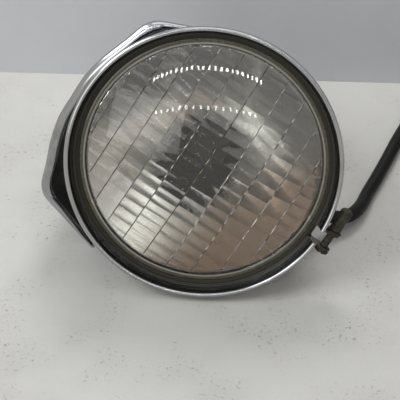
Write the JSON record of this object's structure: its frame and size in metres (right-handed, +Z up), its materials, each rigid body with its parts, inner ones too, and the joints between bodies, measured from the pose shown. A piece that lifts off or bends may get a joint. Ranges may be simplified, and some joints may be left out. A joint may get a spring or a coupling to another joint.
{
  "type": "motorcycle headlamp",
  "caption": "Chromed motorcycle headlamp with fluted lens, split trim ring and hood bracket, lying face up with its harness and coil.",
  "frame": {"origin": "on the table under the middle of the lamp's box, without the harness, coil, tie and plug", "axes": "+Z up from the table, +Y away from the lens side, +X to the right as the picture shows it; the lamp axis leans 22.5 degrees up from -Y and the lamp is rolled 58.5 degrees about it"},
  "size_m": [0.3473, 0.2284, 0.1529],
  "materials": {
    "chrome_sheet": "bright chrome plate over drawn steel, light handling marks",
    "chromed_casting": "cast aluminium, chrome plated outside, matt black inside",
    "chrome_hardware": "chrome plated steel",
    "zinc_steel": "zinc plated steel, dulled",
    "black_rubber": "moulded rubber, satin",
    "black_sleeve": "soft vinyl sleeving over wires, satin",
    "black_nylon": "moulded nylon",
    "white_nylon": "natural nylon",
    "clear_glass": "pressed clear glass, fluted inside",
    "silvered_glass": "glass bowl, aluminised inside",
    "tungsten": "coiled wire",
    "brass_blade": "tinned brass",
    "wire_insulation": "vinyl insulation"
  },
  "bodies": {
    "lamp": {"bucket": "chrome_sheet", "swivel_pocket": "zinc_steel", "grommet": "black_rubber", "harness_sleeve": "black_sleeve", "harness_coil": "black_sleeve", "harness_plug": "black_nylon", "coil_tie": "white_nylon", "trim_ring": "chrome_sheet", "clamp_washer": "chrome_hardware", "seal_ring": "black_rubber", "lens": "clear_glass", "reflector": "silvered_glass", "glare_shield": "zinc_steel", "filament_posts": "zinc_steel", "filaments": "tungsten", "terminals": "brass_blade", "connector": "black_nylon", "inner_wires": "wire_insulation", "tilt_bolt": "zinc_steel", "tilt_nut": "zinc_steel"},
    "swivel": {"swivel_block": "zinc_steel", "stud_nut": "zinc_steel", "stud_washer": "zinc_steel"},
    "bracket": {"hood": "chromed_casting"},
    "screw": {"clamp_screw": "chrome_hardware"},
    "barrel": {"clamp_nut": "chrome_hardware"}
  },
  "joints": [
    {"name": "tilt", "type": "hinge", "parent": "lamp", "child": "swivel", "pos_m": [-0.03626, 0.0207, 0.06627], "axis": [0.5225, 0.3263, 0.7877], "range_deg": [-8, 3]},
    {"name": "swivel", "type": "hinge", "parent": "swivel", "child": "bracket", "pos_m": [-0.0499, 0.02389, 0.07399], "axis": [-0.8526, 0.2, 0.4827], "range_deg": [0, 12]},
    {"name": "clamp_turn", "type": "hinge", "parent": "lamp", "child": "screw", "pos_m": [0.0792, -0.05985, 0.03384], "axis": [0.5225, 0.3263, 0.7877], "range_deg": [-3601, 0]},
    {"name": "nut_travel", "type": "slide", "parent": "lamp", "child": "barrel", "axis": [0.5225, 0.3263, 0.7877], "range_m": [0, 0.008]}
  ],
  "couplings": [
    {"joint": "clamp_turn", "follows": "nut_travel", "rad_per_m": -7854}
  ]
}
